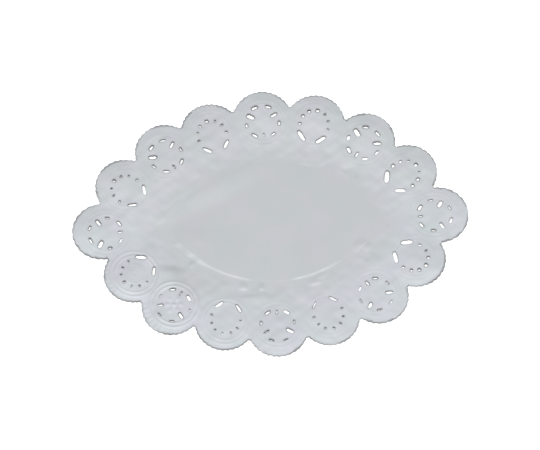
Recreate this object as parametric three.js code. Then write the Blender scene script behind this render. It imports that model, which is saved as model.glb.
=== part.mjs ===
// An oval paper doily with pointed ends, die-cut and embossed from one sheet of silver foil paper.
// Millimetres, +Z up. It lies on its plain middle panel, with the middle of its outline at the origin.
import * as THREE from 'three';
import { ConvexHull } from 'three/addons/math/ConvexHull.js';

// Sheet
const SHEET_THICKNESS = 1;
const SCALLOP_RADIUS = 23;
const NOTCH_FILL = 1.4;
const ARC_STEPS = 14;

// Plain middle panel: a lens between two arcs, pressed a little off the middle of the sheet. A bead runs along
// its edge, with a long slope towards the middle and a short one outwards.
const PANEL_HALF_LENGTH = 82.5;
const PANEL_HALF_WIDTH = 48.4;
const PANEL_X = 2;
const PANEL_Y = 0.1;
const BEAD_INNER_WIDTH = 5;
const BEAD_OUTER_WIDTH = 2.6;
const BEAD_HEIGHT = 0.5;
const BEAD_POINTS = 60;

// The sheet rests on a flat diamond in the middle of the panel. Outside it the underside rises very slightly.
const FOOT_HALF_LENGTH = 80;
const FOOT_HALF_WIDTH = 46;
const FOOT_SLOPE = 0.01;
const FOOT_RISE = 0.2;

// Relief round and inside each pierced motif
const MOTIF_POINTS = 24;
const RING_RADIUS = { rosette: 17.8, arch: 19.4 };
const RING_WIDTH = 3;
const RING_HEIGHT = 0.6;

// The border stands a little off the table, and each scallop's rim is lifted by its own amount
const BORDER_LIFT = 0.5;
const BORDER_RISE = 34;
const LIFT_SPREAD = 19;

// Spacing of the plain points that carry the sheet's waves, and their distance from any edge or relief
const TOP_GRID = 9;
const UNDERSIDE_GRID = 11;
const GRID_CLEARANCE = 2.6;

// Points on one circle can be joined in several ways: a tiny difference in lift picks one of them
const BOWL_DEPTH = 0.01;
const TIE_BREAK = 1e-6;

// The scallops in turn, anticlockwise from the right tip: motif, middle of the circle, lift of the rim, and how
// far the motif lies off its place
const SCALLOPS = [
  { motif: 'rosette', x: 129.5, y: -1, lift: 0.5, slipX: -0.7, slipY: -0.2 },
  { motif: 'arch', x: 108, y: 36, lift: 1, slipX: -0.5, slipY: -0.2 },
  { motif: 'rosette', x: 77.5, y: 64.5, lift: 1.2, slipX: 0, slipY: 0 },
  { motif: 'arch', x: 39.5, y: 82, lift: 1.2, slipX: 0, slipY: 0.8 },
  { motif: 'rosette', x: -1, y: 87.5, lift: 1.2, slipX: 0, slipY: 0 },
  { motif: 'arch', x: -41.5, y: 79.5, lift: 0.2, slipX: 0, slipY: -0.4 },
  { motif: 'rosette', x: -78, y: 64, lift: 0.2, slipX: -0.5, slipY: -1.2 },
  { motif: 'arch', x: -110, y: 36.5, lift: 1.2, slipX: -0.9, slipY: -0.6 },
  { motif: 'rosette', x: -129.5, y: 0.5, lift: 1, slipX: 0.5, slipY: -1.7 },
  { motif: 'arch', x: -107, y: -36.5, lift: 1.5, slipX: 0, slipY: -0.5 },
  { motif: 'rosette', x: -79.5, y: -65, lift: 0.7, slipX: 0.4, slipY: -0.8 },
  { motif: 'arch', x: -39.5, y: -80, lift: 0.5, slipX: 0, slipY: -0.4 },
  { motif: 'rosette', x: 0.5, y: -87.5, lift: 1, slipX: 0, slipY: 0 },
  { motif: 'arch', x: 40.5, y: -80.5, lift: 0.5, slipX: 0, slipY: -0.5 },
  { motif: 'rosette', x: 79, y: -65, lift: 0.2, slipX: -0.8, slipY: -0.8 },
  { motif: 'arch', x: 109.5, y: -36.5, lift: 1.2, slipX: 0, slipY: -0.3 },
];

// How far each motif's middle lies in from the middle of its scallop's circle
const MOTIF_INSET = { rosette: 3, arch: 1 };
const HOLE_FULLNESS = 0.7;

// Holes of each motif: distance from its middle, degrees from straight outwards, size, and the long side's
// turn from pointing at the middle. A hole off the middle line has a twin on the other side.
const HOLES = {
  rosette: [
    { distance: 13.7, angle: 23, length: 4.9, width: 2.2, turn: 90, points: 8 },
    { distance: 10.5, angle: 59, length: 6.4, width: 3, turn: 0, points: 8 },
    { distance: 12.7, angle: 97, length: 4, width: 2, turn: 90, points: 8 },
    { distance: 12.5, angle: 145, length: 4.8, width: 2.3, turn: 90, points: 8 },
    { distance: 10.5, angle: 180, length: 4.6, width: 1.8, turn: 0, points: 8 },
  ],
  arch: [
    { distance: 10.3, angle: 0, length: 2.3, width: 2.3, turn: 0, points: 6 },
    { distance: 10.3, angle: 37, length: 2.2, width: 2.2, turn: 0, points: 6 },
    { distance: 10.5, angle: 71, length: 2.2, width: 2.2, turn: 0, points: 6 },
    { distance: 11.6, angle: 106, length: 2.3, width: 2.3, turn: 0, points: 6 },
    { distance: 14.9, angle: 149, length: 9, width: 3, turn: 106, points: 12 },
  ],
};

// Raised points inside each motif: distance from its middle, number, height of the even and the odd ones
const BOSSES = {
  rosette: [
    { distance: 0, points: 1, even: 0.7, odd: 0.7 },
    { distance: 2.4, points: 6, even: 0, odd: 0 },
    { distance: 5.2, points: 12, even: 0.6, odd: 0 },
  ],
  arch: [
    { distance: 0, points: 1, even: 0, odd: 0 },
    { distance: 3.4, points: 9, even: 0.6, odd: 0.6 },
    { distance: 6.6, points: 12, even: 0, odd: 0 },
  ],
};

// Main soft folds of the buckled band: middle, direction, length, width, height (a trough's is negative)
const FOLDS = [
  { x: -69, y: -29, degrees: -42, length: 14, width: 6, height: -0.4 },
  { x: -92, y: -20, degrees: 60, length: 14, width: 6, height: 0.5 },
  { x: 64, y: 39, degrees: -30, length: 14, width: 5, height: -0.4 },
  { x: 83, y: 7, degrees: 10, length: 12, width: 7, height: 0.5 },
  { x: -34, y: 45, degrees: 24, length: 34, width: 8, height: 0.6 },
  { x: 34, y: 51, degrees: -12, length: 18, width: 5, height: 0.6 },
  { x: -12, y: -60, degrees: 2, length: 24, width: 5, height: 0.5 },
  { x: 75, y: -37, degrees: 40, length: 12, width: 5, height: 0.5 },
];

const RADIANS = Math.PI / 180;
const PANEL_ARC_RADIUS = (PANEL_HALF_LENGTH ** 2 + PANEL_HALF_WIDTH ** 2) / (2 * PANEL_HALF_WIDTH);
const PANEL_ARC_DROP = PANEL_ARC_RADIUS - PANEL_HALF_WIDTH;

function neighbour(index, step) {
  return SCALLOPS[(index + step + SCALLOPS.length) % SCALLOPS.length];
}

// Direction that scallop number index faces, square to the line between its two neighbours
function facing(index) {
  const before = neighbour(index, -1);
  const after = neighbour(index, 1);
  return Math.atan2(-(after.x - before.x), after.y - before.y);
}

// The notch between a scallop and the next one, filled in a little as a die cuts it
function notch(a, b) {
  const middle = new THREE.Vector2((a.x + b.x) / 2, (a.y + b.y) / 2);
  const along = new THREE.Vector2(b.x - a.x, b.y - a.y);
  const half = along.length() / 2;
  const outwards = new THREE.Vector2(along.y, -along.x).normalize();
  return middle.addScaledVector(outwards, Math.sqrt(SCALLOP_RADIUS ** 2 - half ** 2) + NOTCH_FILL);
}

// Outline: an arc for each scallop, from notch to notch
function outline() {
  const points = [];
  SCALLOPS.forEach((scallop, index) => {
    const start = notch(neighbour(index, -1), scallop);
    const end = notch(scallop, neighbour(index, 1));
    const from = Math.atan2(start.y - scallop.y, start.x - scallop.x);
    let to = Math.atan2(end.y - scallop.y, end.x - scallop.x);
    if (to < from) to += 2 * Math.PI;
    points.push(start);
    for (let step = 1; step < ARC_STEPS; step += 1) {
      const angle = from + ((to - from) * step) / ARC_STEPS;
      points.push(
        new THREE.Vector2(
          scallop.x + SCALLOP_RADIUS * Math.cos(angle),
          scallop.y + SCALLOP_RADIUS * Math.sin(angle),
        ),
      );
    }
  });
  return points;
}

// Middle and outward direction of the motif on scallop number index
function motifPlace(index) {
  const { motif, x, y, slipX, slipY } = SCALLOPS[index];
  const outwards = facing(index);
  const inset = MOTIF_INSET[motif];
  return {
    motif,
    outwards,
    x: x + slipX - inset * Math.cos(outwards),
    y: y + slipY - inset * Math.sin(outwards),
  };
}

// A power of a cosine or sine that keeps its sign: it makes an ellipse fuller at its corners
function fuller(value) {
  return Math.sign(value) * Math.abs(value) ** HOLE_FULLNESS;
}

// A hole as a full ellipse
function holeLoop(place, hole, side) {
  const bearing = place.outwards + side * hole.angle * RADIANS;
  const direction = bearing - side * hole.turn * RADIANS;
  const middleX = place.x + hole.distance * Math.cos(bearing);
  const middleY = place.y + hole.distance * Math.sin(bearing);
  const loop = [];
  for (let step = 0; step < hole.points; step += 1) {
    const angle = (2 * Math.PI * (step + 0.5)) / hole.points;
    const along = (hole.length / 2) * fuller(Math.cos(angle));
    const across = (hole.width / 2) * fuller(Math.sin(angle));
    loop.push(
      new THREE.Vector2(
        middleX + along * Math.cos(direction) - across * Math.sin(direction),
        middleY + along * Math.sin(direction) + across * Math.cos(direction),
      ),
    );
  }
  return loop;
}

function holeLoops() {
  const loops = [];
  SCALLOPS.forEach((scallop, index) => {
    const place = motifPlace(index);
    for (const hole of HOLES[place.motif]) {
      const sides = hole.angle === 0 || hole.angle === 180 ? [1] : [1, -1];
      for (const side of sides) loops.push(holeLoop(place, hole, side));
    }
  });
  return loops;
}

// Distance outside the plain panel's edge, negative inside it
function pastPanel(x, y) {
  const upper = Math.hypot(x - PANEL_X, y - PANEL_Y + PANEL_ARC_DROP) - PANEL_ARC_RADIUS;
  const lower = Math.hypot(x - PANEL_X, y - PANEL_Y - PANEL_ARC_DROP) - PANEL_ARC_RADIUS;
  return Math.max(upper, lower);
}

// Height that the underside gains outside the flat diamond
function footRise(x, y) {
  const along = Math.abs(x - PANEL_X) / FOOT_HALF_LENGTH;
  const across = Math.abs(y - PANEL_Y) / FOOT_HALF_WIDTH;
  const middleToEdge = (FOOT_HALF_LENGTH * FOOT_HALF_WIDTH) / Math.hypot(FOOT_HALF_LENGTH, FOOT_HALF_WIDTH);
  return THREE.MathUtils.clamp(FOOT_SLOPE * (along + across - 1) * middleToEdge, 0, FOOT_RISE);
}

// Height of the sheet's underside over the table: all but level under the panel, waved in the border
function wave(x, y) {
  const past = pastPanel(x, y) - BEAD_OUTER_WIDTH;
  if (past <= 0) return footRise(x, y);
  const rise = THREE.MathUtils.smoothstep(past, 0, BORDER_RISE);
  let height = BORDER_LIFT;
  SCALLOPS.forEach((scallop, index) => {
    const outwards = facing(index);
    const rimX = scallop.x + (SCALLOP_RADIUS / 2) * Math.cos(outwards);
    const rimY = scallop.y + (SCALLOP_RADIUS / 2) * Math.sin(outwards);
    const away = Math.hypot(x - rimX, y - rimY) / LIFT_SPREAD;
    height += scallop.lift * Math.exp(-away * away);
  });
  for (const fold of FOLDS) {
    const cosine = Math.cos(fold.degrees * RADIANS);
    const sine = Math.sin(fold.degrees * RADIANS);
    const along = ((x - fold.x) * cosine + (y - fold.y) * sine) / fold.length;
    const across = ((y - fold.y) * cosine - (x - fold.x) * sine) / fold.width;
    height += fold.height * Math.exp(-along * along - across * across);
  }
  return footRise(x, y) + rise * height;
}

// Points on a circle, each with the height that it is raised by
function circlePoints(x, y, turn, { distance, points, even, odd }) {
  const ring = [];
  for (let step = 0; step < points; step += 1) {
    const angle = turn + (2 * Math.PI * step) / points;
    const raised = step % 2 === 0 ? even : odd;
    ring.push({ x: x + distance * Math.cos(angle), y: y + distance * Math.sin(angle), raised });
  }
  return ring;
}

// The bead along the panel's edge: foot, crest and foot
function beadPoints() {
  const points = [];
  const quarter = BEAD_POINTS / 4;
  for (const [offset, raised] of [[-BEAD_INNER_WIDTH, 0], [0, BEAD_HEIGHT], [BEAD_OUTER_WIDTH, 0]]) {
    const radius = PANEL_ARC_RADIUS + offset;
    const half = Math.acos(PANEL_ARC_DROP / radius);
    for (const side of [1, -1]) {
      for (let step = -quarter; step < quarter; step += 1) {
        const angle = (half * step) / quarter;
        const x = PANEL_X + side * radius * Math.sin(angle);
        const y = PANEL_Y + side * (radius * Math.cos(angle) - PANEL_ARC_DROP);
        points.push({ x, y, raised });
      }
    }
  }
  return points;
}

// Embossed relief of all motifs: their inner bosses and a raised ring round each
function motifPoints() {
  const points = [];
  const ring = [[-RING_WIDTH / 2, 0], [0, RING_HEIGHT], [RING_WIDTH / 2, 0]];
  SCALLOPS.forEach((scallop, index) => {
    const place = motifPlace(index);
    for (const boss of BOSSES[place.motif]) {
      points.push(...circlePoints(place.x, place.y, place.outwards, boss));
    }
    for (const [offset, raised] of ring) {
      const distance = RING_RADIUS[place.motif] + offset;
      const circle = { distance, points: MOTIF_POINTS, even: raised, odd: raised };
      points.push(...circlePoints(place.x, place.y, place.outwards, circle));
    }
  });
  return points;
}

function isInside(point, loop) {
  let inside = false;
  loop.forEach((a, index) => {
    const b = loop[(index + 1) % loop.length];
    if (a.y > point.y !== b.y > point.y) {
      const crossing = a.x + ((point.y - a.y) / (b.y - a.y)) * (b.x - a.x);
      if (crossing > point.x) inside = !inside;
    }
  });
  return inside;
}

// Plain points in staggered rows over the whole sheet, clear of the points that are there already
function fillPoints(spacing, rim, taken) {
  const points = [];
  const box = new THREE.Box2().setFromPoints(rim);
  const rowHeight = spacing * Math.sin(60 * RADIANS);
  for (let row = 0; box.min.y + row * rowHeight < box.max.y; row += 1) {
    const y = box.min.y + row * rowHeight;
    for (let x = box.min.x + (row % 2) * (spacing / 2); x < box.max.x; x += spacing) {
      const clear = taken.every((other) => Math.hypot(other.x - x, other.y - y) > GRID_CLEARANCE);
      if (clear && isInside({ x, y }, rim)) points.push({ x, y, raised: 0 });
    }
  }
  return points;
}

// Triangles between scattered points: the lower side of the hull of the points lifted onto a bowl
function triangulate(points) {
  const lifted = points.map(({ x, y }, index) => {
    const lift = BOWL_DEPTH * (x * x + y * y) + TIE_BREAK * Math.sin(index * index);
    const vector = new THREE.Vector3(x, y, lift);
    vector.index = index;
    return vector;
  });
  const hull = new ConvexHull().setFromPoints(lifted);
  const triangles = [];
  for (const face of hull.faces) {
    if (face.normal.z >= 0) continue;
    const corners = [face.edge, face.edge.next, face.edge.prev].map((edge) => edge.head().point.index);
    triangles.push([corners[0], corners[2], corners[1]]);
  }
  return triangles;
}

// The triangles that lie on paper: inside the rim and outside every hole
function paperTriangles(points, rim, holes) {
  const boxes = holes.map((hole) => new THREE.Box2().setFromPoints(hole));
  return triangulate(points).filter((triangle) => {
    const middle = new THREE.Vector2();
    for (const corner of triangle) {
      middle.x += points[corner].x / 3;
      middle.y += points[corner].y / 3;
    }
    const inHole = holes.some((hole, index) => boxes[index].containsPoint(middle) && isInside(middle, hole));
    return isInside(middle, rim) && !inHole;
  });
}

function doilyGeometry() {
  const rim = outline();
  const holes = holeLoops();
  const edges = [rim, ...holes];
  const edgePoints = edges.flat().map(({ x, y }) => ({ x, y, raised: 0 }));
  const relief = [...beadPoints(), ...motifPoints()];
  const upper = [...edgePoints, ...relief];
  upper.push(...fillPoints(TOP_GRID, rim, upper));
  const lower = [...edgePoints];
  lower.push(...fillPoints(UNDERSIDE_GRID, rim, lower));

  const positions = [];
  for (const { x, y, raised } of upper) positions.push(x, y, wave(x, y) + SHEET_THICKNESS + raised);
  for (const { x, y } of lower) positions.push(x, y, wave(x, y));

  const indices = [];
  const below = upper.length;
  for (const [a, b, c] of paperTriangles(upper, rim, holes)) indices.push(a, b, c);
  for (const [a, b, c] of paperTriangles(lower, rim, holes)) indices.push(a + below, c + below, b + below);
  let first = 0;
  edges.forEach((loop, loopIndex) => {
    loop.forEach((point, step) => {
      const here = first + step;
      const next = first + ((step + 1) % loop.length);
      const [a, b] = loopIndex === 0 ? [here, next] : [next, here];
      indices.push(a + below, b + below, b, a + below, b, a);
    });
    first += loop.length;
  });

  const geometry = new THREE.BufferGeometry();
  geometry.setAttribute('position', new THREE.Float32BufferAttribute(positions, 3));
  geometry.setIndex(indices);
  geometry.computeVertexNormals();
  return geometry;
}

const silverFoil = new THREE.MeshStandardMaterial({ color: 0xc6cbce, roughness: 0.38, metalness: 0.85 });

const doily = new THREE.Mesh(doilyGeometry(), silverFoil);
doily.name = 'doily';

const part = new THREE.Group();
part.add(doily);

export default part;
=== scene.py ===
# The looks of a silver foil paper doily with a scalloped, pierced and embossed border.
# The sheet is worked out in millimetres and made in metres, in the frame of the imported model.
import math

import bpy
import numpy as np
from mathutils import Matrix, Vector
from mathutils.geometry import delaunay_2d_cdt
from mathutils.kdtree import KDTree


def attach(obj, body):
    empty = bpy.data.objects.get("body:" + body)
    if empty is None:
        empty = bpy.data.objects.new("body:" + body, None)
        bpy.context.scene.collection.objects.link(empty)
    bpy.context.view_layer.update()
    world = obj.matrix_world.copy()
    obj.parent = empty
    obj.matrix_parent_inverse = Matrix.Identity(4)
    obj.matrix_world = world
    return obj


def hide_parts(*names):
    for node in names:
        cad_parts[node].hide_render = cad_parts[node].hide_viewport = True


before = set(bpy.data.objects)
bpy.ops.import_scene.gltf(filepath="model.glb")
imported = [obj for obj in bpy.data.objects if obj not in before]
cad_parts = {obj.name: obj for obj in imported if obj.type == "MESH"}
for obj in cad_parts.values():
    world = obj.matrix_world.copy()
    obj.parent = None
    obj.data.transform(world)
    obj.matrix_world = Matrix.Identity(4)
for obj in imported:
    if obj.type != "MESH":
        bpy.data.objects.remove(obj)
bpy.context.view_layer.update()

MM = 0.001

# Sheet
FOIL_THICKNESS = 0.3
SCALLOP_RADIUS = 23
NOTCH_FILL = 1.4

# Plain middle panel, a lens between two arcs
PANEL_HALF_LENGTH = 82.5
PANEL_HALF_WIDTH = 48.4
PANEL_MIDDLE = (2, 0.1)
PANEL_ARC_RADIUS = (PANEL_HALF_LENGTH**2 + PANEL_HALF_WIDTH**2) / (2 * PANEL_HALF_WIDTH)
PANEL_ARC_DROP = PANEL_ARC_RADIUS - PANEL_HALF_WIDTH

# Step from the panel down to the border. The panel rises towards it over the slope's width. The shares say
# how high it is at places along the panel's length.
STEP_HEIGHT = 0.6
STEP_WIDTH = 1.9
STEP_SLOPE_WIDTH = 45
STEP_SHARES = [
    (-78, 0),
    (-64, 1.1),
    (-57, 1),
    (-48, 0.5),
    (-42, 0.65),
    (-30, 0.5),
    (-22, 0.3),
    (-15, 0.04),
    (12, 0.06),
    (20, 0.5),
    (27, 0.75),
    (33, 0.4),
    (39, 0.6),
    (46, 0.36),
    (53, 0.04),
    (84, 0),
]

# The step is plain on the near side, and fades to a trace towards a line across the far side
FAR_STEP_SHARE = 0.02
FAR_STEP_LINE = 20
FAR_STEP_FADE = 30

# The step's width wavers, by a share and over a length for each wave, and is greatest near the left end
STEP_WAVERS = [(0.3, 5), (0.2, 2.3)]
STEP_END = -63
STEP_END_REACH = 8
STEP_END_SHARE = 1.8

# Slope by which the sheet rises from the panel's far left side: middle, direction in degrees, and how far
# along and across it reaches
FAR_SLOPE = (-48, 22, 27)
FAR_SLOPE_LENGTH = 42
FAR_SLOPE_WIDTH = 17
FAR_SLOPE_RISE = 0.7

# Border: how it stands off the table, and how far out and how wide each scallop's own lift is
BORDER_LIFT = 0.5
BORDER_RISE = 34
LIFT_OUTWARDS = 11.5
LIFT_SPREAD = 19

# Raised rings round each motif
RING_RADII = (15.4, 18.6)
RING_WIDTH = 1.9
RING_HEIGHT = 0.09

# Hub and petals in the middle of a rosette
HUB_WIDTH = 3.6
HUB_HEIGHT = 0.12
PETALS = 6
PETAL_MIDDLE = 5.2
PETAL_LENGTH = 6
PETAL_SHARPNESS = 4
PETAL_HEIGHT = 0.08

# Rings in the middle of an arch
ARCH_RING_RADII = (2.4, 5, 7.6)
ARCH_RING_WIDTH = 2
ARCH_RING_HEIGHT = 0.06

# Fine edge: small scallops along the rim, and the flutes that run in from them
RIM_WAVES = 13
RIM_WAVE_DEPTH = 0.6
RIM_WAVE_SPREAD = (0.6, 1.3)
RIM_SEED = 5
FLUTE_HEIGHT = 0.03
FLUTE_RISE = 2

# Scallops in turn, anticlockwise from the right tip: motif, middle of the circle, lift of the rim, how far
# the motif lies off its place, how deep it is pressed, and how wide each hole stands open, from 0, a mere
# slit, to 9. The holes are in the order of HOLES, the left one of a pair first.
SCALLOPS = [
    ("rosette", 129.5, -1, 0.5, -0.7, -0.2, 0.4, (3, 6, 7, 5, 5, 5, 7, 5, 3)),
    ("arch", 108, 36, 1, -0.5, -0.2, 0.3, (9, 6, 3, 7, 8, 9, 8, 9, 7)),
    ("rosette", 77.5, 64.5, 1.2, 0, 0, 0.35, (7, 7, 9, 6, 9, 7, 8, 7, 6)),
    ("arch", 39.5, 82, 1.2, 0, 0.8, 0.3, (9, 8, 3, 8, 3, 6, 3, 7, 7)),
    ("rosette", -1, 87.5, 1.2, 0, 0, 0.4, (8, 8, 9, 5, 5, 5, 6, 4, 0)),
    ("arch", -41.5, 79.5, 0.2, 0, -0.4, 0.35, (7, 5, 2, 3, 3, 2, 3, 6, 5)),
    ("rosette", -78, 64, 0.2, -0.5, -1.2, 0.3, (7, 6, 7, 5, 5, 4, 6, 5, 2)),
    ("arch", -110, 36.5, 1.2, -0.9, -0.6, 0.3, (7, 2, 3, 2, 3, 3, 4, 4, 6)),
    ("rosette", -129.5, 0.5, 1, 0.5, -1.7, 0.45, (5, 4, 8, 5, 4, 3, 5, 6, 5)),
    ("arch", -107, -36.5, 1.5, 0, -0.5, 1.3, (5, 2, 1, 1, 1, 1, 1, 4, 7)),
    ("rosette", -79.5, -65, 0.7, 0.4, -0.8, 1.7, (3, 1, 5, 3, 1, 1, 7, 6, 2)),
    ("arch", -39.5, -80, 0.5, 0, -0.4, 0.75, (3, 1, 0, 0, 1, 0, 1, 3, 5)),
    ("rosette", 0.5, -87.5, 1, 0, 0, 0.4, (1, 3, 7, 1, 1, 3, 8, 5, 1)),
    ("arch", 40.5, -80.5, 0.5, 0, -0.5, 0.3, (2, 1, 2, 0, 1, 1, 1, 3, 1)),
    ("rosette", 79, -65, 0.2, -0.8, -0.8, 0.3, (2, 2, 6, 5, 2, 2, 4, 4, 5)),
    ("arch", 109.5, -36.5, 1.2, 0, -0.3, 0.35, (9, 7, 7, 3, 5, 6, 6, 9, 7)),
]
RIGHT_TIP = SCALLOPS[0]
TOP = SCALLOPS[4]
MOTIF_INSET = {"rosette": 3, "arch": 1}
MOTIF_REACH = 28

# Holes of each motif: distance from its middle, degrees from straight outwards, length, width, and the
# long side's turn from pointing at the middle. A hole off the middle line has a twin.
HOLES = {
    "rosette": [
        (13.7, 23, 4.9, 2.2, 90),
        (10.5, 59, 6.4, 3.0, 0),
        (12.7, 97, 4.0, 2.0, 90),
        (12.5, 145, 4.8, 2.3, 90),
        (10.5, 180, 4.6, 1.8, 0),
    ],
    "arch": [
        (10.3, 0, 2.3, 2.3, 0),
        (10.3, 37, 2.2, 2.2, 0),
        (10.5, 71, 2.2, 2.2, 0),
        (11.6, 106, 2.3, 2.3, 0),
        (14.9, 149, 9.0, 3.0, 106),
    ],
}

# Shares of its full length and width that a hole has when it is a mere slit, and gains with each step of
# opening. Each hole is then a little longer or shorter, wider or narrower, by chance.
SLIT_LENGTH = 0.6
LENGTH_GAIN = 0.05
SLIT_WIDTH = 0.2
WIDTH_GAIN = 0.1
NARROWEST_HOLE = 0.7
HOLE_SEED = 3
HOLE_UNEVENNESS = 0.08

# Shape of a hole's edge: how full the oval is, and how ragged
HOLE_FULLNESS = 0.7
RAGGED_SEED = 4
RAGGED_DEPTH = 0.16

# The torn paper at a hole hangs down from the sheet, but never as far as the table
BURR_DEPTH = 0.7
BURR_SHARE = 0.8

# Darker foil along the edges, partly wear and partly painted shade. Holes have more of it than the rim,
# and the extra on their far sides is painted shade.
EDGE_DARK_WIDTH = 0.45
HOLE_EDGE_DARK_SHARE = 1.5
HOLE_FAR_SIDE_PAINTED_SHADE = 0.6

# Painted light: the foil is a little brighter and bluer in the border, most of all on its near side, but
# for a patch of painted shade
PAINTED_LIGHT_WIDTH = 25
FAR_PAINTED_LIGHT_LOSS = 0.6
PAINTED_SHADE_PATCH = (-62, -38)
PAINTED_SHADE_REACH = 16
PAINTED_SHADE_SHARE = 1.7

# Soft folds of the buckled band: middle, direction in degrees, length, width, height
FOLDS = [
    (-69, -29, -42, 14, 6, -0.4),
    (-92, -20, 60, 14, 6, 0.5),
    (64, 39, -30, 14, 5, -0.4),
    (83, 7, 10, 12, 7, 0.5),
    (-34, 45, 24, 34, 8, 0.2),
    (34, 51, -12, 18, 5, 0.6),
    (-12, -60, 2, 24, 5, 0.5),
    (75, -37, 40, 12, 5, 0.5),
]

# Short creases: middle, direction in degrees, length, width of the sharp near side, height. The far side
# eases off over four times that width.
CREASE_TAIL = 4
CREASES = [
    (-73, -14, -30, 8, 1.5, 0.1),
    (-78, -37, 168, 26, 7, 0.7),
    (-63, -31, -60, 7, 1.5, 0.2),
    (-62, -27, -20, 9, 1.5, -0.25),
    (-66, -30, 10, 8, 1.5, -0.2),
    (-55, -12, -20, 14, 4, 0.06),
    (-24, -52.8, 0, 10, 1.6, 0.32),
    (-10, -54, 0, 7, 1.6, 0.28),
    (-20, -58, 2, 22, 2.5, -0.16),
    (32, -51.7, 12, 15, 1.6, 0.28),
    (36, -47, 20, 12, 1.4, 0.14),
    (68, -23, 50, 16, 1.7, 0.26),
    (74, -25, 50, 11, 1.8, 0.2),
    (72, -33, 30, 10, 3, -0.15),
    (31, 48, -12, 20, 1.8, 0.08),
    (47, 43.5, -12, 16, 1.5, -0.08),
    (63, 39, -30, 20, 1.5, -0.3),
    (56, 27, -32, 16, 1.6, -0.06),
    (82, 20, 60, 14, 4, -0.15),
    (-64, 30, 40, 20, 5, 0.12),
    (-84, 8, 20, 14, 4, 0.1),
]

# Fine unevenness of the border: waves between two lengths, and the height that they go up and down from
CRUMPLE_SEED = 11
CRUMPLE_WAVES = 24
CRUMPLE_SHORTEST = 6
CRUMPLE_LONGEST = 28
CRUMPLE_SLOPE = 0.024
CRUMPLE_BASE = 0.2
CRUMPLE_RISE = 8

# Spacing of the mesh's points
RIM_STEPS = 78
EDGE_SPACING = 0.55
MOTIF_SPACING = 1
MOTIF_ROW_SPACING = 0.9
BORDER_SPACING = 1.15
PANEL_SPACING = 3
CREASE_SPACING = 1.1
FLUTE_SPACING = 1.4
FLUTE_LINES = 4
STEP_SPACING = 0.45
STEP_POINTS = 200
STEP_INNER_REACH = 2
STEP_OUTER_REACH = 2 * STEP_WIDTH

# Room that is left clear of plain points beside edges and rings, and how near two points count as one
EDGE_CLEARANCE = 0.5
RING_INNER_CLEARANCE = 0.3
RING_OUTER_CLEARANCE = 0.8
SAME_POINT = 0.01

# Foil: two shades that drift into each other, the border's painted light, and the dark colour of edge wear
# and painted shade
FOIL_METALLIC = 0.22
FOIL_ROUGHNESS = (0.5, 0.6)
FOIL_SHADES = ((0.352, 0.377, 0.382), (0.372, 0.377, 0.402))
FOIL_DRIFT = (0.35, 0.65)
PAINTED_LIGHT_TINT = (0.032, 0.037, 0.045)
EDGE_WEAR_AND_SHADE_COLOUR = (0.06, 0.06, 0.065)
EDGE_DARK_PATCHINESS = (0.3, 0.55)
EDGE_DARK_MOST = 0.87

# White paper back, and the torn edge, painted dark as shade
PAPER_ROUGHNESS = 0.85
PAPER_SHADES = ((0.74, 0.75, 0.75), (0.84, 0.84, 0.83))
CUT_ROUGHNESS = 0.7
CUT_EDGE_PAINTED_SHADES = ((0.09, 0.09, 0.1), (0.22, 0.22, 0.23))

# Scale and detail of each noise, and the depth and strength of the bump that grain and fibres make
FOIL_CLOUDS = (40, 4)
EDGE_DARK_PATCHES = (70, 2)
FOIL_GRAIN = (1400, 3)
PAPER_CLOUDS = (180, 5)
PAPER_FIBRES = (2600, 4)
CUT_GRAIN = (900, 2)
BUMP_DEPTH = 0.0001
FOIL_BUMP = 0.25
PAPER_BUMP = 0.4

# View: the photograph looks down on the table from 67 degrees, with the doily turned a little. At the
# doily's distance a pixel covers PIXEL metres.
VIEW_ELEVATION = 67
VIEW_TURN = -3.44
VIEW_DISTANCE = 4
VIEW_AIM = (-0.4, -1.3)
FRAME_PIXELS = 540
PIXEL = 0.000768
SENSOR = 36

# Studio: one wide disk light above the near side, weak light all round, and a white floor
LIGHT_AZIMUTH = 180
LIGHT_ELEVATION = 86
LIGHT_DISTANCE = 5
LIGHT_SIZE = 2
LIGHT_RADIANCE = 28
WORLD_COLOUR = (1, 1, 1, 1)
WORLD_STRENGTH = 0.3
FLOOR_SIZE = 6
FLOOR_DROP = 0.0002
FLOOR_COLOUR = (0.95, 0.95, 0.95, 1)
FLOOR_ROUGHNESS = 0.9


def make_camera():
    turn = math.radians(VIEW_TURN)
    elevation = math.radians(VIEW_ELEVATION)
    back = Vector(
        (
            math.sin(turn) * math.cos(elevation),
            -math.cos(turn) * math.cos(elevation),
            math.sin(elevation),
        )
    )
    data = bpy.data.cameras.new("camera")
    data.sensor_width = SENSOR
    data.lens = SENSOR * VIEW_DISTANCE / (FRAME_PIXELS * PIXEL)
    camera = bpy.data.objects.new("camera", data)
    camera.location = Vector((VIEW_AIM[0] * MM, VIEW_AIM[1] * MM, 0)) + back * VIEW_DISTANCE
    camera.rotation_mode = "QUATERNION"
    camera.rotation_quaternion = (-back).to_track_quat("-Z", "Y")
    bpy.context.collection.objects.link(camera)
    bpy.context.scene.camera = camera


def smooth_step(value, width):
    t = np.clip(value / width, 0, 1)
    return t * t * (3 - 2 * t)


def along_table(value, table):
    """A smooth course through the table's pairs of a place and a height."""
    height = np.full(len(value), float(table[0][1]))
    for (start, low), (end, high) in zip(table, table[1:]):
        height += (high - low) * smooth_step(value - start, end - start)
    return height


def ridge(distance, width):
    """A round-topped ridge: 1 on its line, 0 from half its width on."""
    t = np.clip(np.abs(distance) / (width / 2), 0, 1)
    return (1 - t * t) ** 2


def neighbour(index, step):
    return SCALLOPS[(index + step) % len(SCALLOPS)]


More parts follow.
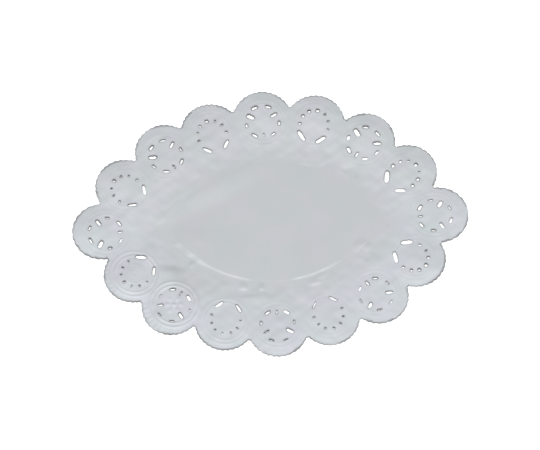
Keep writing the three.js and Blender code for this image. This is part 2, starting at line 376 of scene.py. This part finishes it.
def facing(index):
    """Direction that a scallop faces, square to the line between its two neighbours."""
    _, before_x, before_y, *_ = neighbour(index, -1)
    _, after_x, after_y, *_ = neighbour(index, 1)
    return math.atan2(before_x - after_x, after_y - before_y)


def motif_place(index):
    """Kind, middle and outward direction of the motif on a scallop."""
    kind, x, y, _, slip_x, slip_y, *_ = SCALLOPS[index]
    outwards = facing(index)
    inset = MOTIF_INSET[kind]
    return kind, x + slip_x - inset * math.cos(outwards), y + slip_y - inset * math.sin(outwards), outwards


MOTIFS = [motif_place(index) for index in range(len(SCALLOPS))]


def notch(a, b):
    """The notch between a scallop and the next one."""
    along = np.array([b[1] - a[1], b[2] - a[2]])
    half = np.hypot(*along) / 2
    outwards = np.array([along[1], -along[0]]) / (2 * half)
    middle = np.array([(a[1] + b[1]) / 2, (a[2] + b[2]) / 2])
    return middle + outwards * (math.sqrt(SCALLOP_RADIUS**2 - half**2) + NOTCH_FILL)


def rim_span(index):
    """Start and end angle of a scallop's rim, seen from its motif's middle."""
    _, x, y, _ = MOTIFS[index]
    start = notch(neighbour(index, -1), SCALLOPS[index]) - (x, y)
    end = notch(SCALLOPS[index], neighbour(index, 1)) - (x, y)
    first = math.atan2(start[1], start[0])
    last = math.atan2(end[1], end[0])
    return first, last + (2 * math.pi if last < first else 0)


def rim_distance(index, angle):
    """Distance from a motif's middle to the scallop's circle in some direction."""
    _, motif_x, motif_y, _ = MOTIFS[index]
    x = SCALLOPS[index][1] - motif_x
    y = SCALLOPS[index][2] - motif_y
    along = x * np.cos(angle) + y * np.sin(angle)
    across = x * np.sin(angle) - y * np.cos(angle)
    return along + np.sqrt(SCALLOP_RADIUS**2 - across**2)


def rim_loop():
    """The whole rim, with its small scallops, none quite like the next."""
    chance = np.random.default_rng(RIM_SEED)
    points = []
    for index in range(len(SCALLOPS)):
        _, x, y, _ = MOTIFS[index]
        first, last = rim_span(index)
        points.append(notch(neighbour(index, -1), SCALLOPS[index])[None, :])
        t = np.arange(1, RIM_STEPS) / RIM_STEPS
        angle = first + (last - first) * t
        depths = RIM_WAVE_DEPTH * chance.uniform(*RIM_WAVE_SPREAD, RIM_WAVES + 1)
        depth = np.interp(RIM_WAVES * t, np.arange(RIM_WAVES + 1), depths)
        dip = depth * (1 - np.abs(np.sin(math.pi * RIM_WAVES * t)))
        distance = rim_distance(index, angle) - dip
        points.append(np.stack([x + distance * np.cos(angle), y + distance * np.sin(angle)], 1))
    return np.concatenate(points)


def holes_and_sides(kind):
    """A motif's holes, each with its side: 1 is the left one of a pair, or a hole on the middle line."""
    for hole in HOLES[kind]:
        yield hole, 1
        if hole[1] not in (0, 180):
            yield hole, -1


def hole_frames():
    """Middle, long direction, length and width of every hole."""
    chance = np.random.default_rng(HOLE_SEED)
    frames = []
    for (kind, x, y, outwards), scallop in zip(MOTIFS, SCALLOPS):
        for (hole, side), opening in zip(holes_and_sides(kind), scallop[-1]):
            distance, degrees, length, width, turn = hole
            bearing = outwards + side * math.radians(degrees)
            direction = bearing - side * math.radians(turn)
            middle = (x + distance * math.cos(bearing), y + distance * math.sin(bearing))
            uneven_length, uneven_width = chance.uniform(1 - HOLE_UNEVENNESS, 1 + HOLE_UNEVENNESS, 2)
            long = length * uneven_length * (SLIT_LENGTH + LENGTH_GAIN * opening)
            wide = width * uneven_width * (SLIT_WIDTH + WIDTH_GAIN * opening)
            frames.append((middle, direction, long, max(wide, NARROWEST_HOLE)))
    return frames


def fuller(value):
    return np.sign(value) * np.abs(value) ** HOLE_FULLNESS


def hole_loop(chance, middle, direction, length, width):
    """A hole's edge: a full oval, a little ragged where the paper tore."""
    count = 4 * math.ceil((length + width) / 2 / EDGE_SPACING)
    angle = 2 * math.pi * (np.arange(count) + 0.5) / count
    torn = chance.uniform(-RAGGED_DEPTH, RAGGED_DEPTH, count)
    along = (length / 2 + torn) * fuller(np.cos(angle))
    across = (width / 2 + torn) * fuller(np.sin(angle))
    x = middle[0] + along * math.cos(direction) - across * math.sin(direction)
    y = middle[1] + along * math.sin(direction) + across * math.cos(direction)
    return np.stack([x, y], 1)


def in_loop(x, y, loop):
    inside = np.zeros(len(x), bool)
    for (ax, ay), (bx, by) in zip(loop, np.roll(loop, -1, axis=0)):
        crosses = (ay > y) != (by > y)
        inside ^= crosses & (ax + (y - ay) / (by - ay + (ay == by)) * (bx - ax) > x)
    return inside


def in_a_hole(x, y, holes):
    inside = np.zeros(len(x), bool)
    for loop in holes:
        low = loop.min(axis=0)
        high = loop.max(axis=0)
        near = np.flatnonzero((x > low[0]) & (x < high[0]) & (y > low[1]) & (y < high[1]))
        inside[near] |= in_loop(x[near], y[near], loop)
    return inside


def past_panel(x, y):
    """Distance outside the plain panel's edge, negative inside it."""
    along = x - PANEL_MIDDLE[0]
    across = y - PANEL_MIDDLE[1]
    upper = np.hypot(along, across + PANEL_ARC_DROP) - PANEL_ARC_RADIUS
    lower = np.hypot(along, across - PANEL_ARC_DROP) - PANEL_ARC_RADIUS
    return np.maximum(upper, lower)


def in_rim(x, y):
    """Inside the scalloped outline: in a scallop's circle, or nearer the middle than the scallops are."""
    centres = np.array([[row[1], row[2]] for row in SCALLOPS])
    inside = in_loop(x, y, centres)
    for cx, cy in centres:
        inside |= np.hypot(x - cx, y - cy) < SCALLOP_RADIUS
    for index in range(len(SCALLOPS)):
        gap = notch(SCALLOPS[index], neighbour(index, 1))
        inside |= np.hypot(x - gap[0], y - gap[1]) < NOTCH_FILL
    return inside


def wave(x, y):
    """Height of the sheet: level under the panel, but for the far slope, and waved in the border."""
    height = np.full(len(x), float(BORDER_LIFT + CRUMPLE_BASE))
    for index, (_, cx, cy, lift, *_) in enumerate(SCALLOPS):
        outwards = facing(index)
        lift_x = cx + LIFT_OUTWARDS * math.cos(outwards)
        lift_y = cy + LIFT_OUTWARDS * math.sin(outwards)
        away = np.hypot(x - lift_x, y - lift_y) / LIFT_SPREAD
        height += lift * np.exp(-away * away)
    for fold_x, fold_y, degrees, length, width, rise in FOLDS:
        along, across = in_fold(x, y, fold_x, fold_y, degrees)
        height += rise * np.exp(-((along / length) ** 2) - (across / width) ** 2)
    past = past_panel(x, y) - STEP_WIDTH
    height *= smooth_step(past, BORDER_RISE)
    along, across = in_fold(x, y, *FAR_SLOPE)
    far_rise = smooth_step(across + FAR_SLOPE_WIDTH / 2, FAR_SLOPE_WIDTH)
    height += FAR_SLOPE_RISE * far_rise * np.exp(-((along / FAR_SLOPE_LENGTH) ** 2))
    return height + crumple(x, y) * smooth_step(past, CRUMPLE_RISE)


def crumple(x, y):
    """Small uneven waves of handled foil, up and down, each as steep as the next."""
    chance = np.random.default_rng(CRUMPLE_SEED)
    height = np.zeros(len(x))
    for _ in range(CRUMPLE_WAVES):
        direction = chance.uniform(0, math.pi)
        length = math.exp(chance.uniform(math.log(CRUMPLE_SHORTEST), math.log(CRUMPLE_LONGEST)))
        phase = chance.uniform(0, 2 * math.pi)
        turn = 2 * math.pi / length
        along = x * math.cos(direction) + y * math.sin(direction)
        height += CRUMPLE_SLOPE * math.sqrt(2 / CRUMPLE_WAVES) / turn * np.sin(turn * along + phase)
    return height


def in_fold(x, y, fold_x, fold_y, degrees):
    """Places along and across a fold, from its middle."""
    cosine = math.cos(math.radians(degrees))
    sine = math.sin(math.radians(degrees))
    along = (x - fold_x) * cosine + (y - fold_y) * sine
    across = (y - fold_y) * cosine - (x - fold_x) * sine
    return along, across


def rosette_relief(distance, angle):
    """A hub with six petals round it."""
    hub = HUB_HEIGHT * ridge(distance, HUB_WIDTH)
    round_the_hub = np.cos(PETALS / 2 * angle) ** PETAL_SHARPNESS
    return hub + PETAL_HEIGHT * ridge(distance - PETAL_MIDDLE, PETAL_LENGTH) * round_the_hub


def arch_relief(distance, angle):
    """Three rings, one inside the other, under the arch of holes."""
    return ARCH_RING_HEIGHT * sum(ridge(distance - radius, ARCH_RING_WIDTH) for radius in ARCH_RING_RADII)


RELIEF = {"rosette": rosette_relief, "arch": arch_relief}


def panel_step(x, y):
    past = past_panel(x, y)
    slope = smooth_step(past + STEP_SLOPE_WIDTH, STEP_SLOPE_WIDTH)
    nearness = FAR_STEP_SHARE + (1 - FAR_STEP_SHARE) * smooth_step(FAR_STEP_LINE - y, FAR_STEP_FADE)
    widths = 1
    for share, length in STEP_WAVERS:
        widths = widths + share * np.sin(x / length)
    widths = widths + STEP_END_SHARE * np.exp(-(((x - STEP_END) / STEP_END_REACH) ** 2))
    step_width = STEP_WIDTH * widths
    inner = np.minimum(step_width / 2, STEP_WIDTH)
    drop = 1 - smooth_step(past + inner, step_width)
    return STEP_HEIGHT * nearness * along_table(x, STEP_SHARES) * slope * drop


def motif_relief(index, x, y):
    """What the die embosses on one scallop: the motif's middle, its rings and the flutes outside them."""
    kind, cx, cy, outwards = MOTIFS[index]
    distance = np.hypot(x - cx, y - cy)
    near = distance < MOTIF_REACH
    angle = np.arctan2(y - cy, x - cx)
    inner = RELIEF[kind](distance, angle - outwards)
    ring = sum(RING_HEIGHT * ridge(distance - radius, RING_WIDTH) for radius in RING_RADII)
    first, last = rim_span(index)
    t = ((angle - first) % (2 * math.pi)) / (last - first)
    outside = smooth_step(distance - RING_RADII[-1] - RING_WIDTH / 4, FLUTE_RISE)
    flutes = -FLUTE_HEIGHT * np.cos(2 * math.pi * RIM_WAVES * t) * outside * (t < 1)
    pressed = SCALLOPS[index][6]
    return pressed * np.where(near, pressed * inner + ring + flutes, 0)


def relief(x, y):
    """The panel's step, the creases and all the embossing, over the sheet's waves."""
    height = panel_step(x, y)
    for crease_x, crease_y, degrees, length, width, rise in CREASES:
        along, across = in_fold(x, y, crease_x, crease_y, degrees)
        across = np.where(across > 0, across / CREASE_TAIL, across)
        height += rise * ridge(along, length) * ridge(across, 2 * width)
    for index in range(len(MOTIFS)):
        height += motif_relief(index, x, y)
    return height


def circle_points(x, y, radii, spacing):
    rows = []
    for radius in radii:
        count = max(1, round(2 * math.pi * radius / spacing))
        angle = 2 * math.pi * np.arange(count) / count
        rows.append(np.stack([x + radius * np.cos(angle), y + radius * np.sin(angle)], 1))
    return np.concatenate(rows)


def flute_points(index):
    """Points on the crests and troughs of the flutes and between them, from the outer ring to the rim."""
    _, x, y, _ = MOTIFS[index]
    first, last = rim_span(index)
    rows = []
    for step in range(1, FLUTE_LINES * RIM_WAVES):
        angle = first + (last - first) * step / (FLUTE_LINES * RIM_WAVES)
        start = RING_RADII[-1] + RING_WIDTH / 2 + RING_OUTER_CLEARANCE
        end = rim_distance(index, angle) - RIM_WAVE_DEPTH - EDGE_CLEARANCE
        distance = np.arange(start, end, FLUTE_SPACING)
        rows.append(np.stack([x + distance * math.cos(angle), y + distance * math.sin(angle)], 1))
    return np.concatenate(rows)


def step_points():
    """Close rows of points along the panel's step, on both sides of the panel."""
    rows = []
    for offset in np.arange(-STEP_INNER_REACH, STEP_OUTER_REACH, STEP_SPACING):
        radius = PANEL_ARC_RADIUS + offset
        half = math.acos(PANEL_ARC_DROP / radius)
        for side in (1, -1):
            angle = np.linspace(-half, half, STEP_POINTS, endpoint=False)
            x = PANEL_MIDDLE[0] + side * radius * np.sin(angle)
            y = PANEL_MIDDLE[1] + side * (radius * np.cos(angle) - PANEL_ARC_DROP)
            rows.append(np.stack([x, y], 1))
    return np.concatenate(rows)


def crease_points():
    """Close points over the creases of the plain panel, whose own points are far apart."""
    rows = []
    for x, y, degrees, length, width, _ in CREASES:
        steps = np.arange(-length / 2, length / 2, CREASE_SPACING)
        rungs = np.arange(-width, CREASE_TAIL * width, CREASE_SPACING / 2)
        along, across = (grid.ravel() for grid in np.meshgrid(steps, rungs))
        cosine = math.cos(math.radians(degrees))
        sine = math.sin(math.radians(degrees))
        rows.append(np.stack([x + along * cosine - across * sine, y + along * sine + across * cosine], 1))
    points = np.concatenate(rows)
    return points[past_panel(*points.T) < -STEP_INNER_REACH - CREASE_SPACING / 2]


def grid_points(spacing):
    """Rows of points over the whole doily, each row set off by half a space from the last."""
    row_height = spacing * math.sqrt(3) / 2
    half_length = RIGHT_TIP[1] + SCALLOP_RADIUS
    half_width = TOP[2] + SCALLOP_RADIUS
    rows = []
    for number, y in enumerate(np.arange(-half_width, half_width, row_height)):
        x = np.arange(-half_length + (number % 2) * spacing / 2, half_length, spacing)
        rows.append(np.stack([x, np.full(len(x), y)], 1))
    return np.concatenate(rows)


def inner_points(holes):
    """The points between the edges: rings, flutes, the panel's step and creases, and plain rows."""
    panel = grid_points(PANEL_SPACING)
    groups = [panel[past_panel(*panel.T) < -PANEL_SPACING]]
    border = grid_points(BORDER_SPACING)
    keep = past_panel(*border.T) > STEP_OUTER_REACH
    start = RING_RADII[0] - RING_WIDTH / 2
    reach = RING_RADII[-1] + RING_WIDTH / 2
    inner = np.arange(0, start - RING_INNER_CLEARANCE, MOTIF_ROW_SPACING)
    radii = np.concatenate([inner, np.arange(start, reach, RING_WIDTH / 4)])
    for index, (_, x, y, _) in enumerate(MOTIFS):
        groups.append(circle_points(x, y, radii, MOTIF_SPACING))
        groups.append(flute_points(index))
        distance = np.hypot(border[:, 0] - x, border[:, 1] - y)
        angle = np.arctan2(border[:, 1] - y, border[:, 0] - x)
        first, last = rim_span(index)
        t = ((angle - first) % (2 * math.pi)) / (last - first)
        fluted = (t < 1) & (distance < rim_distance(index, angle))
        keep &= (distance > reach + RING_OUTER_CLEARANCE) & ~fluted
    groups += [border[keep], step_points(), crease_points()]
    points = np.concatenate(groups)
    return points[in_rim(*points.T) & ~in_a_hole(*points.T, holes)]


def nearest_edges(points, edge_points):
    """Number of the nearest edge point, and the distance to it."""
    tree = KDTree(len(edge_points))
    for number, (x, y) in enumerate(edge_points):
        tree.insert((x, y, 0), number)
    tree.balance()
    found = [tree.find((x, y, 0)) for x, y in points]
    return np.array([row[1] for row in found]), np.array([row[2] for row in found])


def flat_cut(loops, points):
    """Points and triangles between the loops, which are the rim and then the holes."""
    edges = []
    first = 0
    for loop in loops:
        count = len(loop)
        edges += [(first + step, first + (step + 1) % count) for step in range(count)]
        first += count
    flat = [Vector((float(x), float(y))) for x, y in np.concatenate(loops + [points])]
    only_inside = 1
    found = delaunay_2d_cdt(flat, edges, [], only_inside, SAME_POINT)
    cut = np.array([tuple(point) for point in found[0]])
    triangles = np.array(found[2])
    middle = cut[triangles].mean(axis=1)
    triangles = triangles[~in_a_hole(*middle.T, loops[1:])]
    used = np.unique(triangles)
    number = np.full(len(cut), -1)
    number[used] = np.arange(len(used))
    return cut[used], number[triangles]


def boundary_edges(triangles):
    """Edges that only one triangle has, in that triangle's direction."""
    edges = np.concatenate([triangles[:, [0, 1]], triangles[:, [1, 2]], triangles[:, [2, 0]]])
    keys = np.sort(edges, axis=1)
    _, first, counts = np.unique(keys, axis=0, return_index=True, return_counts=True)
    return edges[first[counts == 1]]


def sheet_mesh(upper, lower, triangles):
    """One closed mesh with three material slots: the foil face, the paper back and the cut edge.

    The upper points come first, then the lower ones.
    """
    count = len(upper)
    rim = boundary_edges(triangles)
    walls = np.concatenate(
        [
            np.stack([rim[:, 1], rim[:, 0], rim[:, 0] + count], 1),
            np.stack([rim[:, 1], rim[:, 0] + count, rim[:, 1] + count], 1),
        ]
    )
    faces = np.concatenate([triangles, triangles[:, ::-1] + count, walls])
    mesh = bpy.data.meshes.new("doily_foil")
    mesh.from_pydata(np.concatenate([upper, lower]) * MM, [], faces)
    mesh.polygons.foreach_set("use_smooth", np.ones(len(faces), bool))
    slots = np.repeat([0, 1, 2], [len(triangles), len(triangles), len(walls)])
    mesh.polygons.foreach_set("material_index", slots.astype(np.int32))
    rims = {tuple(sorted(edge)) for edge in rim} | {tuple(sorted(edge)) for edge in rim + count}
    for edge in mesh.edges:
        edge.use_edge_sharp = tuple(sorted(edge.vertices)) in rims
    return mesh


def add_shares(mesh, name, shares):
    """An attribute with one share for each point of the foil face, and the same for the back under it."""
    shades = np.ones((2 * len(shares), 4))
    shades[:, :3] = np.concatenate([shares, shares])[:, None]
    mesh.color_attributes.new(name, "FLOAT_COLOR", "POINT")
    mesh.color_attributes[name].data.foreach_set("color", shades.ravel())


def cut_area(points, triangles):
    """Area of the flat cut in square metres, without its holes."""
    corners = points[triangles]
    across = corners[:, 1] - corners[:, 0]
    up = corners[:, 2] - corners[:, 0]
    area = np.abs(across[:, 0] * up[:, 1] - across[:, 1] * up[:, 0]).sum() / 2
    return area * MM * MM


def make_doily():
    """The doily, and the area of its flat cut."""
    chance = np.random.default_rng(RAGGED_SEED)
    holes = [hole_loop(chance, *hole) for hole in hole_frames()]
    rim = rim_loop()
    hole_points = np.concatenate(holes)
    points = inner_points(holes)
    points = points[nearest_edges(points, np.concatenate([rim, hole_points]))[1] > EDGE_CLEARANCE]
    points, triangles = flat_cut([rim] + holes, points)

    x, y = points.T
    height = np.maximum(wave(x, y) + relief(x, y), 0)
    _, rim_far = nearest_edges(points, rim)
    at, hole_far = nearest_edges(points, hole_points)
    burr = np.where(hole_far < SAME_POINT, np.minimum(BURR_DEPTH, BURR_SHARE * height), 0)
    upper = np.stack([x, y, height + FOIL_THICKNESS], 1)
    lower = np.stack([x, y, height - burr], 1)
    mesh = sheet_mesh(upper, lower, triangles)

    # Where a point lies on its hole's edge: 1 on the far side, -1 on the near side
    far_sides = [(loop[:, 1] - loop[:, 1].mean()) / np.ptp(loop[:, 1]) * 2 for loop in holes]
    # Dark edges: wear all round, and painted shade that grows towards each hole's far side
    hole_wear_and_shade = HOLE_EDGE_DARK_SHARE + HOLE_FAR_SIDE_PAINTED_SHADE * np.concatenate(far_sides)[at]
    wear_and_shade = np.exp(-((rim_far / EDGE_DARK_WIDTH) ** 2)) + hole_wear_and_shade * np.exp(-((hole_far / EDGE_DARK_WIDTH) ** 2))
    add_shares(mesh, "edge_wear_and_painted_shade", np.clip(wear_and_shade, 0, 1))
    # Painted light over the border, less on its far side, minus a patch of painted shade
    painted_light = smooth_step(past_panel(x, y), PAINTED_LIGHT_WIDTH) * (1 - FAR_PAINTED_LIGHT_LOSS * smooth_step(y, PAINTED_LIGHT_WIDTH))
    away = np.hypot(x - PAINTED_SHADE_PATCH[0], y - PAINTED_SHADE_PATCH[1]) / PAINTED_SHADE_REACH
    add_shares(mesh, "painted_light_border", painted_light - PAINTED_SHADE_SHARE * np.exp(-away * away))

    doily = bpy.data.objects.new("doily_foil", mesh)
    bpy.context.collection.objects.link(doily)
    return doily, cut_area(points, triangles)


def new_material(name, roughness):
    material = bpy.data.materials.new(name)
    material.use_nodes = True
    shader = material.node_tree.nodes["Principled BSDF"]
    shader.inputs["Roughness"].default_value = roughness
    return material, material.node_tree, shader


def add_noise(tree, scale, detail):
    """Noise over the object's own places, from 0 to 1."""
    place = tree.nodes.new("ShaderNodeTexCoord")
    noise = tree.nodes.new("ShaderNodeTexNoise")
    noise.inputs["Scale"].default_value = scale
    noise.inputs["Detail"].default_value = detail
    tree.links.new(place.outputs["Object"], noise.inputs["Vector"])
    return noise.outputs["Fac"]


def add_range(tree, value, low, high, start=0, end=1):
    """A number that goes from low to high as the value goes from start to end."""
    change = tree.nodes.new("ShaderNodeMapRange")
    change.inputs["From Min"].default_value = start
    change.inputs["From Max"].default_value = end
    change.inputs["To Min"].default_value = low
    change.inputs["To Max"].default_value = high
    tree.links.new(value, change.inputs["Value"])
    return change.outputs["Result"]


def add_shades(tree, value, shades, span=(0, 1)):
    """A colour that goes from the first shade to the second as the value crosses the span."""
    ramp = tree.nodes.new("ShaderNodeValToRGB")
    for element, position, shade in zip(ramp.color_ramp.elements, span, shades):
        element.position = position
        element.color = (*shade, 1)
    tree.links.new(value, ramp.inputs["Fac"])
    return ramp.outputs["Color"]


def add_colour(tree, blend, share, colour, more):
    """The colour with one more mixed into it, or added to it, by a share."""
    mix = tree.nodes.new("ShaderNodeMix")
    mix.data_type = "RGBA"
    mix.blend_type = blend
    mix.inputs["B"].default_value = (*more, 1)
    tree.links.new(share, mix.inputs["Factor"])
    tree.links.new(colour, mix.inputs["A"])
    return mix.outputs["Result"]


def read_shares(tree, name):
    attribute = tree.nodes.new("ShaderNodeVertexColor")
    attribute.layer_name = name
    return attribute.outputs["Color"]


def add_bump(tree, shader, height, strength):
    bump = tree.nodes.new("ShaderNodeBump")
    bump.inputs["Strength"].default_value = strength
    bump.inputs["Distance"].default_value = BUMP_DEPTH
    tree.links.new(height, bump.inputs["Height"])
    tree.links.new(bump.outputs["Normal"], shader.inputs["Normal"])


def make_foil():
    material, tree, shader = new_material("silver_foil", FOIL_ROUGHNESS[0])
    shader.inputs["Metallic"].default_value = FOIL_METALLIC
    foil = add_shades(tree, add_noise(tree, *FOIL_CLOUDS), FOIL_SHADES, FOIL_DRIFT)
    # Painted light in the border, with a patch of painted shade
    foil = add_colour(tree, "ADD", read_shares(tree, "painted_light_border"), foil, PAINTED_LIGHT_TINT)
    # Darker edges: partly wear, partly painted shade
    patches = add_range(tree, add_noise(tree, *EDGE_DARK_PATCHES), 0, EDGE_DARK_MOST, *EDGE_DARK_PATCHINESS)
    wear_and_shade = tree.nodes.new("ShaderNodeMath")
    wear_and_shade.operation = "MULTIPLY"
    tree.links.new(read_shares(tree, "edge_wear_and_painted_shade"), wear_and_shade.inputs[0])
    tree.links.new(patches, wear_and_shade.inputs[1])
    foil = add_colour(tree, "MIX", wear_and_shade.outputs["Value"], foil, EDGE_WEAR_AND_SHADE_COLOUR)
    tree.links.new(foil, shader.inputs["Base Color"])
    grain = add_noise(tree, *FOIL_GRAIN)
    tree.links.new(add_range(tree, grain, *FOIL_ROUGHNESS), shader.inputs["Roughness"])
    add_bump(tree, shader, grain, FOIL_BUMP)
    return material


def make_paper():
    material, tree, shader = new_material("white_paper_back", PAPER_ROUGHNESS)
    paper = add_shades(tree, add_noise(tree, *PAPER_CLOUDS), PAPER_SHADES)
    tree.links.new(paper, shader.inputs["Base Color"])
    add_bump(tree, shader, add_noise(tree, *PAPER_FIBRES), PAPER_BUMP)
    return material


def make_painted_shade_edge():
    material, tree, shader = new_material("edge_wear_and_painted_shade", CUT_ROUGHNESS)
    # The cut edge's dark shades are painted shade
    torn = add_shades(tree, add_noise(tree, *CUT_GRAIN), CUT_EDGE_PAINTED_SHADES)
    tree.links.new(torn, shader.inputs["Base Color"])
    return material


def make_floor():
    bpy.ops.mesh.primitive_plane_add(size=FLOOR_SIZE, location=(0, 0, -FLOOR_DROP))
    floor = bpy.context.object
    floor.name = "floor"
    material, _, shader = new_material("pale_floor", FLOOR_ROUGHNESS)
    shader.inputs["Base Color"].default_value = FLOOR_COLOUR
    floor.data.materials.append(material)


def make_lights():
    """The weak light all round, and the disk light, which faces the doily. Azimuth 0 is the far side."""
    world = bpy.data.worlds.new("studio")
    world.use_nodes = True
    background = world.node_tree.nodes["Background"]
    background.inputs["Color"].default_value = WORLD_COLOUR
    background.inputs["Strength"].default_value = WORLD_STRENGTH
    bpy.context.scene.world = world

    turn = math.radians(LIGHT_AZIMUTH)
    rise = math.radians(LIGHT_ELEVATION)
    direction = Vector((math.sin(turn) * math.cos(rise), math.cos(turn) * math.cos(rise), math.sin(rise)))
    place = LIGHT_DISTANCE * direction
    data = bpy.data.lights.new("overhead", "AREA")
    data.shape = "DISK"
    data.size = LIGHT_SIZE
    data.energy = LIGHT_RADIANCE * math.pi * math.pi * LIGHT_SIZE * LIGHT_SIZE / 4
    light = bpy.data.objects.new("overhead", data)
    light.location = place
    light.rotation_mode = "QUATERNION"
    light.rotation_quaternion = (-place).to_track_quat("-Z", "Y")
    bpy.context.collection.objects.link(light)
    bpy.context.scene.view_settings.view_transform = "Standard"


make_camera()
doily, flat_area = make_doily()
doily.data.materials.append(make_foil())
doily.data.materials.append(make_paper())
doily.data.materials.append(make_painted_shade_edge())
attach(doily, "root")
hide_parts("doily")
make_floor()
make_lights()
